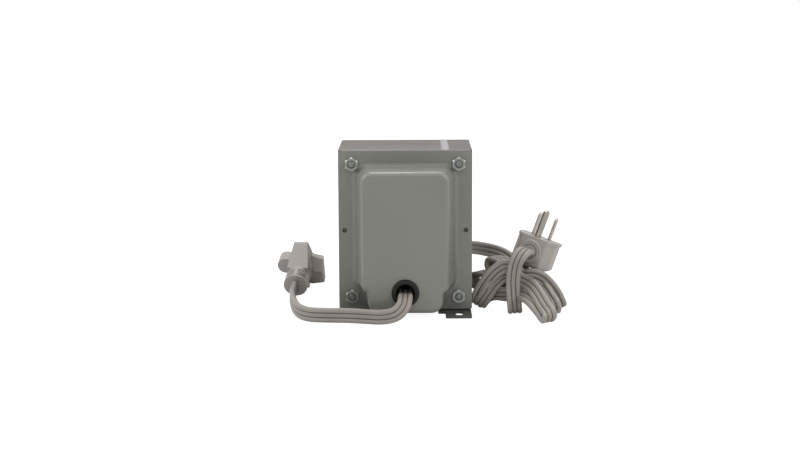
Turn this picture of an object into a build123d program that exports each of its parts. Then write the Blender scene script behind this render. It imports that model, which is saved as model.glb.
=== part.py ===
from build123d import *
import math
import os

os.makedirs("parts", exist_ok=True)

# Frame: X to the right, Y away from the front bell, Z up, floor at Z = 0, all in millimetres.

# Laminated core of E and I sheets, tongue lying along X
core_width = 95.25
core_height = 114.3
stack_depth = 69.85
tongue_height = 38.1
leg_width = 19.05
core_lift = 2.4
weld_width = 6.0
weld_rise = 0.5

# Through bolts, nuts and spring washers
bolt_inset = 9.525
bolt_d = 4.17
bolt_hole_d = 4.8
bolt_head_across = 6.35
bolt_head_height = 2.8
bolt_end_rise = 0.6
nut_across = 8.73
nut_height = 3.2
nut_turn = 30.0
washer_od = 7.4
washer_bore = 4.4
washer_height = 1.0
washer_gap = 0.9

# Steel end frames with the mounting feet bent out of them
frame_thickness = 1.6
frame_window_margin = 1.2
frame_window_corner = 3.0
bend_inner_radius = 0.8
foot_root_inner = 23.3
foot_inner = 28.5
foot_edge_inset = 0.7
foot_root_reach = 7.0
foot_reach = 23.5
foot_corner = 1.2
foot_slot_x = 38.1
foot_slot_reach = 12.7
foot_slot_width = 5.2
foot_slot_length = 13.0

# Drawn sheet bells
bell_thickness = 1.5
bell_corner = 2.0
dome_depth = 28.6
dome_side_margin = 12.3
dome_top_margin = 10.7
dome_bottom = 2.2
dome_side_draft = 10.0
dome_top_draft = 3.0
dome_top_corner = 12.0
dome_edge_radius = 5.0
dome_foot_radius = 1.4
neck_inset = 7.1
neck_draft = 4.0
neck_corner = 8.0
shoulder_height = 17.6
shoulder_drop = 3.0
shoulder_outer_radius = 5.4
shoulder_inner_radius = 4.0
side_hole_inset = 4.4
side_hole_d = 3.4

# Rubber grommets in the bells
grommet_height = 16.9
grommet_hole_d = 16.0
grommet_bore_d = 12.6
grommet_lip_d = 19.4
grommet_lip_thickness = 2.6
grommet_inner_lip_d = 18.8
grommet_inner_lip_thickness = 2.2
grommet_lip_round = 1.2

# Coil of two windings on a paper tube round the tongue
coil_fit = 0.4
wedge_width = 40.0
tube_wall = 1.2
barrier_build = 0.6
wrap_build = 0.8
coil_window_fit = 1.05
primary_share = 0.51
coil_end_fit = 0.5
winding_margin = 2.5
coil_corner = 0.6

# Leads, closed-end crimp caps and ground tag inside each bell
lead_d = 2.4
lead_pitch = 3.4
lead_first_run = 3.1
cap_x = 8.0
cap_d = 6.6
cap_bore = 5.2
cap_height = 14.0
cap_rise = 31.0
cap_insertion = 9.0
coil_lead_drop = 5.0
tag_x = 16.5
tag_d = 8.0
tag_thickness = 0.8
tag_neck = 5.0
tag_barrel_d = 3.8
tag_barrel_length = 4.5
tag_z = 9.6
rivet_d = 3.0
rivet_head_d = 5.6
rivet_head_height = 1.6

# Supply and output cords
cord_d = 10.0
cord_tail_inside = 6.0

# Angled three-pin plug, blades pointing up out of the hank
plug_place = (93.5, -18.0, 40.6)
plug_lean = 18.5
plug_back_tilt = 9.0
plug_yaw = 17.0
plug_width = 29.0
plug_front_width = 20.0
plug_length = 31.0
plug_thickness = 22.0
plug_cheek_length = 18.0
plug_corner = 4.0
plug_low_edge = 2.0
plug_rim = 0.7
plug_rim_thickness = 2.2
plug_collar_d = 14.4
plug_collar_height = 1.6
plug_collar_bore = 11.0
blade_width = 6.35
blade_thickness = 1.5
blade_length = 17.0
blade_pitch = 12.7
blade_root = 8.0
blade_back = 5.0
ground_d = 4.76
ground_length = 20.6
ground_ahead = 11.9
ground_tip = 1.4

# Moulded output receptacle, its cord end towards the front, with finger wings
socket_place = (-83.2, 22.0, 8.35)
socket_lean = 23.0
socket_yaw = 7.0
barrel_d = 18.0
barrel_groove = 0.9
barrel_groove_width = 1.3
barrel_groove_pitch = 2.9
barrel_groove_start = 2.0
barrel_groove_count = 3
barrel_spine = 2.6
head_start = 18.0
head_end = 36.0
head_d = 19.6
wing_end = 35.0
top_wing_start = 12.0
top_wing_rise_end = 32.0
top_wing_height = 16.8
top_wing_base_width = 16.0
top_wing_tip_width = 10.6
bottom_wing_start = 13.0
bottom_wing_rise_end = 27.0
bottom_wing_height = 19.8
bottom_wing_width = 9.0
lobe_x = -11.5
lobe_z = 1.8
lobe_d = 12.6
lobe_start = 24.0
block_inner = 6.7
block_outer = 16.4
block_top_inner = 7.2
block_top_outer = 4.7
block_bottom_inner = -20.0
block_bottom_outer = -15.5
block_ridge_start = 24.0
block_ridge_z = -2.5
block_top_start = 32.0
block_bottom_start = 30.0
slot_z = 3.0
contact_depth = 14.0
contact_wall = 0.5
contact_play = 0.3
contact_lead_in = 2.0

# Places worked out from the sizes above
half_width = core_width / 2
foot_outer = half_width - foot_edge_inset
dome_half_width = half_width - dome_side_margin
dome_top = core_height - dome_top_margin
neck_half_width = dome_half_width - neck_inset
side_hole_x = half_width - side_hole_inset
joint_x = half_width - leg_width
core_mid = core_lift + core_height / 2
stack_half = stack_depth / 2
frame_out = stack_half + frame_thickness
flange_out = frame_out + bell_thickness
dome_out = flange_out + dome_depth
grommet_z = core_lift + grommet_height
grommet_out = dome_out + grommet_lip_thickness
bolt_x = half_width - bolt_inset
bolt_z = core_height / 2 - bolt_inset
bolt_places = [(sx * bolt_x, core_mid + sz * bolt_z) for sx in (-1, 1) for sz in (-1, 1)]
window_height = (core_height - tongue_height - 2 * leg_width) / 2
coil_half_length = joint_x - coil_end_fit
paper_build = tube_wall + barrier_build + wrap_build
wire_build = window_height - coil_fit - paper_build - coil_window_fit
primary_build = wire_build * primary_share
secondary_build = wire_build - primary_build
coil_build = coil_fit + paper_build + wire_build
tail_end = -dome_out + bell_thickness + cord_tail_inside
coil_front = -stack_half - coil_build
lead_y = (coil_front - dome_out + bell_thickness) / 2
cap_z = grommet_z + cap_rise


def facing(y):
    """Plane at Y = y that faces the front: its own x is X and its own y is Z."""
    return Plane((0, y, 0), x_dir=(1, 0, 0), z_dir=(0, -1, 0))


def plate(profile, y_front, y_back):
    """A flat profile drawn in X and Z, given its thickness between two Y places."""
    return extrude(facing(y_back) * profile, y_back - y_front)


def to_rear(shape):
    """The same piece turned to the other end of the core."""
    return mirror(shape, about=Plane.XZ)


def round_bar(radius, y_front, y_back, x, z):
    """A round bar along Y."""
    return plate(Pos(x, z) * Circle(radius), y_front, y_back)


def bolt_holes():
    """The four bolt holes as one flat profile."""
    return Sketch() + [Pos(x, z) * Circle(bolt_hole_d / 2) for x, z in bolt_places]


def e_laminations():
    """Stack of E sheets: back at the left, three legs pointing to the right."""
    back = Pos((joint_x - half_width) / 2, core_mid) * Rectangle(half_width + joint_x, core_height)
    window_z = tongue_height / 2 + window_height / 2
    window = Rectangle(2 * joint_x, window_height)
    profile = back - bolt_holes()
    for side in (-1, 1):
        profile -= Pos(0, core_mid + side * window_z) * window
    return plate(profile, -stack_half, stack_half)


def i_laminations():
    """Stack of I sheets that closes the legs of the E stack."""
    bar = Pos(half_width - leg_width / 2, core_mid) * Rectangle(leg_width, core_height)
    return plate(bar - bolt_holes(), -stack_half, stack_half)


def weld_bead(z, upwards):
    """Flat weld bead along the joint of the two stacks, its back a shallow arc."""
    rise = weld_rise if upwards else -weld_rise
    left = (joint_x - weld_width / 2, z)
    right = (joint_x + weld_width / 2, z)
    outline = Line(left, right) + ThreePointArc(right, (joint_x, z + rise), left)
    return plate(make_face(outline), -stack_half, stack_half)


def weld_beads():
    """One bead on top of the core and one below it."""
    top = weld_bead(core_lift + core_height, True)
    return Compound(children=[top, weld_bead(core_lift, False)])


def coil_ring(start, build, half_length):
    """One layer of the coil: a rounded box ring round the tongue, along X."""
    face = Plane((-half_length, 0, core_mid), x_dir=(0, 1, 0), z_dir=(1, 0, 0))
    sizes = []
    for offset in (start, start + build):
        corner = coil_corner + offset
        sizes.append(RectangleRounded(stack_depth + 2 * offset, tongue_height + 2 * offset, corner))
    return extrude(face * (sizes[1] - sizes[0]), 2 * half_length)


def coil_wedges():
    """Two thin fibre wedges that hold the coil's tube tight on the tongue."""
    wedge = Box(2 * coil_half_length, wedge_width, coil_fit)
    rise = tongue_height / 2 + coil_fit / 2
    return Compound(children=[Pos(0, 0, core_mid + side * rise) * wedge for side in (-1, 1)])


def coil_layers():
    """The coil from the tube outwards, as (name, build, half length)."""
    wound = coil_half_length - winding_margin
    return [
        ("coil_tube", tube_wall, coil_half_length),
        ("primary_winding", primary_build, wound),
        ("winding_barrier", barrier_build, coil_half_length),
        ("secondary_winding", secondary_build, wound),
        ("coil_wrap", wrap_build, coil_half_length),
    ]


def foot_profile():
    """Side view of one bent foot in Y and Z, from the plate down and out to the toe."""
    outer = bend_inner_radius + frame_thickness
    toe = -flange_out - foot_reach
    lower = Line((-stack_half, core_lift + frame_thickness), (-stack_half, outer))
    lower += RadiusArc((-stack_half, outer), (-stack_half - outer, 0), outer)
    lower += Polyline((-stack_half - outer, 0), (toe, 0), (toe, frame_thickness))
    inner_bend = (-frame_out - bend_inner_radius, frame_thickness)
    lower += Line((toe, frame_thickness), inner_bend)
    lower += RadiusArc(inner_bend, (-frame_out, outer), -bend_inner_radius)
    lower += Polyline((-frame_out, outer), (-frame_out, core_lift + frame_thickness))
    lower += Line((-frame_out, core_lift + frame_thickness), (-stack_half, core_lift + frame_thickness))
    return make_face(lower)


def foot_plan():
    """Plan of the right foot with its narrow lug and slot, in X and Y."""
    root = -flange_out - foot_root_reach
    toe = -flange_out - foot_reach
    points = [
        (foot_root_inner, 0),
        (foot_outer, 0),
        (foot_outer, toe),
        (foot_inner, toe),
        (foot_inner, root),
        (foot_root_inner, root),
    ]
    radii = [0, 0, foot_corner, foot_corner, foot_corner, foot_corner]
    plan = make_face(FilletPolyline(*points, radius=radii, close=True))
    slot_y = -flange_out - foot_slot_reach
    return plan - Pos(foot_slot_x, slot_y) * SlotOverall(foot_slot_length, foot_slot_width, 90)


def right_foot():
    """The bent strip, trimmed to its plan."""
    side = Plane((foot_root_inner, 0, 0), x_dir=(0, 1, 0), z_dir=(1, 0, 0))
    strip = extrude(side * foot_profile(), foot_outer - foot_root_inner)
    trim = extrude(foot_plan(), core_lift + frame_thickness)
    return strip & trim


def front_end_frame():
    """Steel plate between core and bell, open for the coil, with two feet bent out of it."""
    blank = Pos(0, core_mid) * Rectangle(core_width, core_height)
    window_w = 2 * (coil_half_length + frame_window_margin)
    window_h = tongue_height + 2 * (coil_build + frame_window_margin)
    window = Pos(0, core_mid) * RectangleRounded(window_w, window_h, frame_window_corner)
    holes = bolt_holes() + Pos(tag_x, core_lift + tag_z) * Circle(rivet_d / 2)
    sheet = plate(blank - window - holes, -frame_out, -stack_half)
    foot = right_foot()
    return sheet + foot + mirror(foot, about=Plane.YZ)


def dome_outline(depth, inset):
    """Outline of the dome at a depth in front of the flange, shrunk by the sheet for the inside."""
    side = dome_half_width - depth * math.tan(math.radians(dome_side_draft)) - inset
    neck = neck_half_width - depth * math.tan(math.radians(neck_draft)) - inset
    top = core_lift + dome_top - depth * math.tan(math.radians(dome_top_draft)) - inset
    bottom = core_lift + dome_bottom + inset
    upper = core_lift + shoulder_height + shoulder_drop / 2 + inset
    lower = core_lift + shoulder_height - shoulder_drop / 2 + inset
    right = [(side, top), (side, upper), (neck, lower), (neck, bottom)]
    left = [(-x, z) for x, z in reversed(right)]
    convex = shoulder_outer_radius - inset
    concave = shoulder_inner_radius + inset
    radii = [dome_top_corner - inset, convex, concave, neck_corner - inset]
    return make_face(FilletPolyline(*right, *left, radius=radii + radii[::-1], close=True))


def dome_block(start, end, inset):
    """Solid dome between two depths, with its front edge rounded."""
    near = facing(-flange_out - end) * dome_outline(end, inset)
    far = facing(-flange_out - start) * dome_outline(start, inset)
    block = loft([far, near], ruled=True)
    front_edges = block.edges().group_by(Axis.Y)[0]
    return fillet(front_edges, dome_edge_radius - inset)


def front_bell():
    """Drawn bell: bolted flange, deep dome narrowed below the shoulders, cord hole near its foot."""
    flange = Pos(0, core_mid) * RectangleRounded(core_width, core_height, bell_corner)
    side_holes = [Pos(side * side_hole_x, core_mid) * Circle(side_hole_d / 2) for side in (-1, 1)]
    sheet = plate(flange - bolt_holes() - side_holes, -flange_out, -frame_out)
    shell = sheet + dome_block(0, dome_depth, 0)
    foot_edges = shell.edges().filter_by_position(Axis.Y, -flange_out, -flange_out)
    foot_edges = foot_edges.filter_by(lambda edge: not on_flange_rim(edge))
    shell = fillet(foot_edges, dome_foot_radius)
    shell -= dome_block(-bell_thickness, dome_depth - bell_thickness, bell_thickness)
    return shell - round_bar(grommet_hole_d / 2, -dome_out, -dome_out + dome_depth / 2, 0, grommet_z)


def on_flange_rim(edge):
    """True for the outer edges and the hole edges of the flange, which keep their sharp corners."""
    middle = edge.center(CenterOf.BOUNDING_BOX)
    box = edge.bounding_box()
    at_side = abs(middle.X) > half_width - bell_corner
    at_end = abs(middle.Z - core_mid) > core_height / 2 - dome_bottom / 2
    round_hole = edge.geom_type == GeomType.CIRCLE and edge.is_closed
    return at_side or at_end or round_hole or box.size.X > core_width - 3 * bell_corner


def front_grommet():
    """Rubber ring with a groove that holds the edge of the hole."""
    front = -grommet_out
    face = -dome_out
    back = face + bell_thickness
    bore = grommet_bore_d / 2
    seat = grommet_hole_d / 2
    lip = grommet_lip_d / 2
    soft = grommet_lip_round
    points = [
        (bore, front + soft),
        (bore + soft / 2, front),
        (lip - soft, front),
        (lip - soft / 4, front + soft / 2),
        (lip, front + 1.5 * soft),
        (lip, face),
        (seat, face),
        (seat, back),
        (grommet_inner_lip_d / 2, back),
        (grommet_inner_lip_d / 2, back + grommet_inner_lip_thickness),
        (bore, back + grommet_inner_lip_thickness),
    ]
    section = make_face(Polyline(*points, close=True))
    return Pos(0, 0, grommet_z) * revolve(section, Axis.Y)


def hexagon(across):
    """Regular hexagon given across its flats."""
    return RegularPolygon(across / 2, 6, major_radius=False, rotation=nut_turn)


def hex_blank(across, y_front, y_back):
    """Hexagonal prism with its corners taken off by a cone at both ends."""
    prism = plate(hexagon(across), y_front, y_back)
    corner_radius = across / math.sqrt(3)
    bar = plate(Circle(corner_radius), y_front, y_back)
    ends = bar.edges().filter_by(GeomType.CIRCLE)
    return prism & chamfer(ends, (corner_radius - across / 2) * 0.9)


def through_bolt(x, z):
    """Hexagon-headed bolt from the rear bell to just past its nut."""
    tip = -flange_out - washer_height - nut_height - bolt_end_rise
    shank = round_bar(bolt_d / 2, tip, flange_out, 0, 0)
    shank = chamfer(shank.edges().group_by(Axis.Y)[0], bolt_d / 12)
    head = hex_blank(bolt_head_across, flange_out, flange_out + bolt_head_height)
    return Pos(x, 0, z) * (shank + head)


def hex_nut(x, z):
    """Nut on the front flange, over its spring washer."""
    back = -flange_out - washer_height
    nut = hex_blank(nut_across, back - nut_height, back)
    return Pos(x, 0, z) * (nut - round_bar(bolt_d / 2, back - nut_height, back, 0, 0))


def spring_washer(x, z):
    """Split ring between nut and flange."""
    ring = Circle(washer_od / 2) - Circle(washer_bore / 2)
    ring -= Pos(washer_od / 2, 0) * Rectangle(washer_od, washer_gap)
    return Pos(x, 0, z) * plate(ring, -flange_out - washer_height, -flange_out)


def at_all_bolts(make_piece):
    """One node that holds the same piece at each of the four bolts."""
    return Compound(children=[make_piece(x, z) for x, z in bolt_places])


def cord_path(points):
    """Straight runs joined by tangent arcs as large as the shorter run beside them allows."""
    nodes = [Vector(*point) for point in points]
    radii = []
    for before, here, after in zip(nodes, nodes[1:], nodes[2:]):
        inward = here - before
        outward = after - here
        half_turn = math.radians(inward.get_angle(outward) / 2)
        radii.append(0.45 * min(inward.length, outward.length) / math.tan(half_turn))
    return FilletPolyline(*nodes, radius=radii), radii


def cord_tube(name, points):
    """Plain round tube along a cord's route, with its radii and volume printed."""
    path, radii = cord_path(points)
    start = Plane(origin=path @ 0, z_dir=path % 0)
    tube = sweep(start * Circle(cord_d / 2), path)
    expected = math.pi * (cord_d / 2) ** 2 * path.length
    print(name, "radii", [round(radius, 1) for radius in radii], "length", round(path.length, 1))
    print(name, "volume", round(tube.volume), "section times length", round(expected))
    return tube


def cord_tail():
    """The end of a cord inside the front bell, through the grommet's bore."""
    return round_bar(cord_d / 2, -grommet_out, tail_end, 0, grommet_z)


def lead(points, soft):
    """One insulated lead along straight runs with rounded corners."""
    path = FilletPolyline(*points, radius=soft)
    start = Plane(origin=path @ 0, z_dir=path % 0)
    return sweep(start * Circle(lead_d / 2), path)


def cord_leads():
    """Two leads from the cord's end up into the caps, and the ground lead to its tag."""
    first = tail_end + lead_first_run
    top = cap_z + cap_insertion
    leads = []
    for side in (-1, 1):
        outer = side * (cap_x + lead_d / 2)
        points = [
            (side * lead_pitch, tail_end, grommet_z),
            (side * lead_pitch, first, grommet_z),
            (outer, lead_y, (grommet_z + cap_z) / 2),
            (outer, lead_y, top),
        ]
        leads.append(lead(points, 1.3))
    low = core_lift + tag_z
    barrel_y = -frame_out - tag_thickness / 2 - tag_barrel_d / 2
    barrel_x = tag_x - tag_d / 2 - tag_barrel_length
    ground = [
        (0, tail_end, grommet_z),
        (0, (tail_end - frame_out) / 2, grommet_z),
        (lead_d / 2, barrel_y, low),
        (barrel_x + tag_barrel_length / 2, barrel_y, low),
    ]
    leads.append(lead(ground, 2.2))
    return Compound(children=leads)


def coil_leads():
    """Two leads from the caps down and back into the coil's wrap."""
    top = cap_z + cap_insertion
    low = cap_z - coil_lead_drop
    leads = []
    for side in (-1, 1):
        inner = side * (cap_x - lead_d / 2)
        points = [(inner, lead_y, top), (inner, lead_y, low), (inner, coil_front, low)]
        leads.append(lead(points, 2.0))
    return Compound(children=leads)


def crimp_caps():
    """Closed-end caps, open below, over each pair of leads."""
    caps = []
    for side in (-1, 1):
        cap = Cylinder(cap_d / 2, cap_height)
        cap = chamfer(cap.edges().group_by(Axis.Z)[-1], cap_d / 8)
        hollow = Cylinder(cap_bore / 2, cap_insertion)
        cap -= Pos(0, 0, (cap_insertion - cap_height) / 2) * hollow
        caps.append(Pos(side * cap_x, lead_y, cap_z + cap_height / 2) * cap)
    return Compound(children=caps)


def ground_tag():
    """Ring tag under the rivet's head, with a barrel crimped on the ground lead."""
    low = core_lift + tag_z
    ring = Pos(tag_x, low) * Circle(tag_d / 2)
    ring += Pos(tag_x - tag_neck, low) * Rectangle(2 * tag_neck, tag_barrel_d)
    tag = plate(ring - Pos(tag_x, low) * Circle(rivet_d / 2), -frame_out - tag_thickness, -frame_out)
    barrel_y = -frame_out - tag_thickness / 2 - tag_barrel_d / 2
    barrel_x = tag_x - tag_d / 2 - tag_barrel_length / 2
    barrel = Cylinder(tag_barrel_d / 2, tag_barrel_length) - Cylinder(lead_d / 2, tag_barrel_length)
    return tag + Pos(barrel_x, barrel_y, low) * Rot(0, 90, 0) * barrel


def ground_rivet():
    """Rivet that holds the ground tag on the end frame."""
    low = core_lift + tag_z
    shank = round_bar(rivet_d / 2, -frame_out - tag_thickness, -stack_half, tag_x, low)
    head_back = -frame_out - tag_thickness
    head = round_bar(rivet_head_d / 2, head_back - rivet_head_height, head_back, tag_x, low)
    return shank + chamfer(head.edges().group_by(Axis.Y)[0], rivet_head_height / 2)


socket_frame = Pos(*socket_place) * Rot(0, 0, -socket_yaw) * Rot(socket_lean, 0, 0)
plug_frame = Pos(*plug_place) * Rot(0, 0, -plug_yaw) * Rot(-plug_back_tilt, 0, 0) * Rot(0, plug_lean, 0)


def beside(frame, x, y, z):
    """A point of a piece's own frame, in the frame of the whole object."""
    return tuple((frame * Pos(x, y, z)).position)


output_route = [
    (0, -grommet_out, grommet_z),
    (0, -grommet_out - 9, grommet_z),
    (-5, -grommet_out - 16, 12),
    (-17, -84, 6.2),
    (-33, -78, 5),
    (-52, -74, 5),
    (-67, -64, 5),
    (-76.5, -44, 5),
    (-82, -20, 5),
    (-84.6, 0, 5),
    beside(socket_frame, 0, -8.4, 0),
    beside(socket_frame, 0, 0, 0),
]

input_route = [
    (0, grommet_out, grommet_z),
    (0, grommet_out + 11, grommet_z),
    (6, grommet_out + 22, grommet_z + 0.5),
    (18, grommet_out + 29, grommet_z + 1.5),
    (32, grommet_out + 28, 23),
    (43, grommet_out + 19, 25),
    (50, grommet_out + 6, 27.5),
    (55.5, 59, 29.5),
    (62, 40, 32),
    (69, 22, 34),
    (74, 6, 33),
]

wrap_route = [
    beside(plug_frame, 0, -plug_length / 2 - plug_collar_height, 0),
    beside(plug_frame, 0, -plug_length / 2 - 10, 0),
    (81.5, -56, 38),
    (79, -59, 26),
    (78.4, -58.5, 13),
    (78.2, -52.5, 6),
]


def hank_section(x, y_front, y_back, height):
    """Rounded section of the hank across X, standing on the floor."""
    side = Plane((x, 0, 0), x_dir=(0, 1, 0), z_dir=(1, 0, 0))
    width = y_back - y_front
    corner = 0.3 * min(width, height)
    return side * Pos((y_front + y_back) / 2, height / 2) * RectangleRounded(width, height, corner)


def hank_block():
    """Outer shape of the folded cord: two drooping ends and a raised waist."""
    sections = [
        hank_section(49.5, -40, 8, 24),
        hank_section(60, -46, 10, 37),
        hank_section(78, -54, 6, 38),
        hank_section(92, -72, -10, 31),
        hank_section(101, -91, -20, 27),
        hank_section(108, -80, -26, 19),
        hank_section(114, -62, -34, 12),
    ]
    return loft(sections, ruled=True)


def plug_outline(grow):
    """Plan of the plug across its blades: straight cheeks, narrowing to the cord end."""
    half = plug_width / 2 + grow
    front_half = plug_front_width / 2 + grow
    back = plug_length / 2 + grow
    front = -plug_length / 2
    knee = back - plug_cheek_length
    right = [(half, back), (half, knee), (front_half, front)]
    left = [(-x, y) for x, y in reversed(right)]
    radii = [plug_corner, plug_corner, plug_corner / 2]
    return make_face(FilletPolyline(*right, *left, radius=radii + radii[::-1], close=True))


def plug_contact_tools():
    """Line blade, neutral blade and ground pin in the plug's own frame."""
    face = plug_thickness / 2
    depth = blade_length + blade_root
    blades = []
    for side in (-1, 1):
        blank = Box(blade_thickness, blade_width, depth)
        tip = blank.edges().filter_by(Axis.X).group_by(Axis.Z)[-1]
        blank = chamfer(tip, blade_thickness)
        middle = face - blade_root + depth / 2
        blades.append(Pos(side * blade_pitch / 2, blade_back, middle) * blank)
    pin = Cylinder(ground_d / 2, ground_length + blade_root)
    pin = chamfer(pin.edges().group_by(Axis.Z)[-1], ground_tip)
    pin_middle = face - blade_root + (ground_length + blade_root) / 2
    return blades + [Pos(0, blade_back - ground_ahead, pin_middle) * pin]


def plug_body():
    """Moulded body with a thin rim at the blade face and a raised collar round the cord."""
    face = plug_thickness / 2
    body = Pos(0, 0, -face) * extrude(plug_outline(0), plug_thickness)
    low_edges = body.edges().group_by(Axis.Z)[0]
    body = chamfer(low_edges, plug_low_edge)
    rim = Pos(0, 0, face - plug_rim_thickness) * extrude(plug_outline(plug_rim), plug_rim_thickness)
    collar = Circle(plug_collar_d / 2) - Circle(plug_collar_bore / 2)
    front = Plane((0, -plug_length / 2, 0), x_dir=(1, 0, 0), z_dir=(0, -1, 0))
    body += rim
    body += extrude(front * collar, plug_collar_height)
    body += extrude(front * Circle(cord_d / 2), plug_collar_height)
    for contact in plug_contact_tools():
        body -= contact
    return plug_frame * body


def wing(front_profile, side_points):
    """A wing drawn twice, across the socket and along it, and kept where both agree."""
    across = plate(front_profile, 0, wing_end)
    side = Plane((-barrel_d, 0, 0), x_dir=(0, 1, 0), z_dir=(1, 0, 0))
    return across & extrude(side * make_face(Polyline(*side_points, close=True)), 2 * barrel_d)


def top_wing():
    """Upper wing: one flat slope from the barrel up to a narrower tip."""
    base = top_wing_base_width / 2
    tip = top_wing_tip_width / 2
    low = barrel_d / 2 - 1
    outline = [(-base, 0), (base, 0), (base, low), (tip, top_wing_height)]
    outline += [(-tip, top_wing_height), (-base, low)]
    slope = [(top_wing_start, 0), (top_wing_start, low), (top_wing_rise_end, top_wing_height)]
    slope += [(wing_end, top_wing_height), (wing_end, 0)]
    return wing(make_face(Polyline(*outline, close=True)), slope)


def bottom_wing():
    """Lower wing that the socket rests on."""
    outline = Pos(0, -bottom_wing_height / 2) * Rectangle(bottom_wing_width, bottom_wing_height)
    slope = [(bottom_wing_start, 0), (bottom_wing_start, -barrel_d / 3)]
    slope += [(bottom_wing_rise_end, -bottom_wing_height), (wing_end, -bottom_wing_height), (wing_end, 0)]
    return wing(outline, slope)


def block_wing():
    """Right wing: a block whose front is a ridge between two slopes."""
    outline = [
        (0, block_top_inner),
        (block_inner, block_top_inner),
        (block_outer, block_top_outer),
        (block_outer, block_bottom_outer),
        (block_inner, block_bottom_inner / 1.15),
        (0, block_bottom_inner / 1.6),
    ]
    slopes = [
        (block_ridge_start, block_ridge_z),
        (block_top_start, block_top_inner + 1),
        (wing_end, block_top_inner + 1),
        (wing_end, block_bottom_inner),
        (block_bottom_start, block_bottom_inner),
    ]
    return wing(make_face(Polyline(*outline, close=True)), slopes)


def lobe_wing():
    """Left wing: a rounded lobe."""
    profile = Pos(lobe_x, lobe_z) * Circle(lobe_d / 2)
    profile += Pos(lobe_x / 2, lobe_z) * Rectangle(-lobe_x, lobe_d * 0.9)
    return plate(profile, lobe_start, wing_end)


def barrel():
    """Round cord end with short grooves above and below, left whole along both spines."""
    radius = barrel_d / 2
    bar = plate(Circle(radius), 0, head_start)
    for number in range(barrel_groove_count):
        start = barrel_groove_start + number * barrel_groove_pitch
        ring = Circle(radius) - Circle(radius - barrel_groove)
        ring -= Rectangle(barrel_spine, 2 * barrel_d)
        ring -= Rectangle(2 * barrel_d, barrel_d / 2)
        bar -= plate(ring, start, start + barrel_groove_width)
    return bar


def contact_shapes(play):
    """Two blade slots and the ground hole, drawn in the socket's far face."""
    wide = blade_width + 2 * play
    thin = blade_thickness + 2 * play
    slots = [Pos(side * blade_pitch / 2, slot_z) * Rectangle(thin, wide) for side in (-1, 1)]
    return slots + [Pos(0, slot_z - ground_ahead) * Circle(ground_d / 2 + play)]


def receptacle_body():
    """Moulded socket: grooved barrel, round head and four wings, slots in the far face."""
    body = barrel() + plate(Circle(head_d / 2), head_start, head_end)
    body = body + top_wing() + bottom_wing() + lobe_wing() + block_wing()
    for shape in contact_shapes(contact_play + contact_wall):
        body -= plate(shape, head_end - contact_depth, head_end - contact_lead_in)
    for shape in contact_shapes(contact_play):
        body -= plate(shape, head_end - contact_lead_in, head_end)
    return socket_frame * body


def receptacle_contacts():
    """Brass sleeves in the three holes, behind the lead-in of the face."""
    sleeves = []
    for outer, inner in zip(contact_shapes(contact_play + contact_wall), contact_shapes(contact_play)):
        sleeve = plate(outer - inner, head_end - contact_depth, head_end - contact_lead_in)
        sleeves.append(socket_frame * sleeve)
    return Compound(children=sleeves)


pieces = {
    "e_laminations": e_laminations(),
    "i_laminations": i_laminations(),
    "weld_beads": weld_beads(),
    "front_end_frame": front_end_frame(),
    "front_bell": front_bell(),
    "front_grommet": front_grommet(),
    "output_cord_tail": cord_tail(),
    "through_bolts": at_all_bolts(through_bolt),
    "hex_nuts": at_all_bolts(hex_nut),
    "spring_washers": at_all_bolts(spring_washer),
    "plug_body": plug_body(),
    "receptacle_body": receptacle_body(),
    "receptacle_contacts": receptacle_contacts(),
    "coil_wedges": coil_wedges(),
    "output_leads": cord_leads(),
    "secondary_leads": coil_leads(),
    "front_crimp_caps": crimp_caps(),
    "front_ground_tag": ground_tag(),
    "front_ground_rivet": ground_rivet(),
}

pieces["rear_end_frame"] = to_rear(pieces["front_end_frame"])
pieces["rear_bell"] = to_rear(pieces["front_bell"])
pieces["rear_grommet"] = to_rear(pieces["front_grommet"])
pieces["input_cord_tail"] = to_rear(pieces["output_cord_tail"])
pieces["input_leads"] = to_rear(pieces["output_leads"])
pieces["primary_leads"] = to_rear(pieces["secondary_leads"])
pieces["rear_crimp_caps"] = to_rear(pieces["front_crimp_caps"])
pieces["rear_ground_tag"] = to_rear(pieces["front_ground_tag"])
pieces["rear_ground_rivet"] = to_rear(pieces["front_ground_rivet"])

layer_start = coil_fit
for layer_name, layer_build, layer_half in coil_layers():
    pieces[layer_name] = coil_ring(layer_start, layer_build, layer_half)
    layer_start += layer_build

contact_names = ["plug_line_blade", "plug_neutral_blade", "plug_ground_pin"]
for contact_name, contact in zip(contact_names, plug_contact_tools()):
    pieces[contact_name] = plug_frame * contact

pieces["output_cord"] = cord_tube("output_cord", output_route)
pieces["input_cord_hank"] = hank_block() - pieces["plug_body"]
pieces["input_cord"] = cord_tube("input_cord", input_route) - pieces["input_cord_hank"]
pieces["input_cord_wrap"] = cord_tube("input_cord_wrap", wrap_route) - pieces["input_cord_hank"]

for name, shape in pieces.items():
    export_step(shape, f"parts/{name}.step")
print("pieces", len(pieces))
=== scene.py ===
# %% [markdown]
# # A step-up transformer with its two flat cords
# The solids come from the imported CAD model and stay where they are. This script gives them their
# finishes, and makes what a solid can't show well: the two flat cords, the sheets of the core and its
# weld, the threads, the soft domes of the bells, and the rings on plug and grommets. Everything is in
# metres, in the same frame as the CAD. Where millimetres read better, MM turns them into metres.

# %% Load the solids
import math

import bmesh
import bpy
from mathutils import Matrix, Vector


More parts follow.
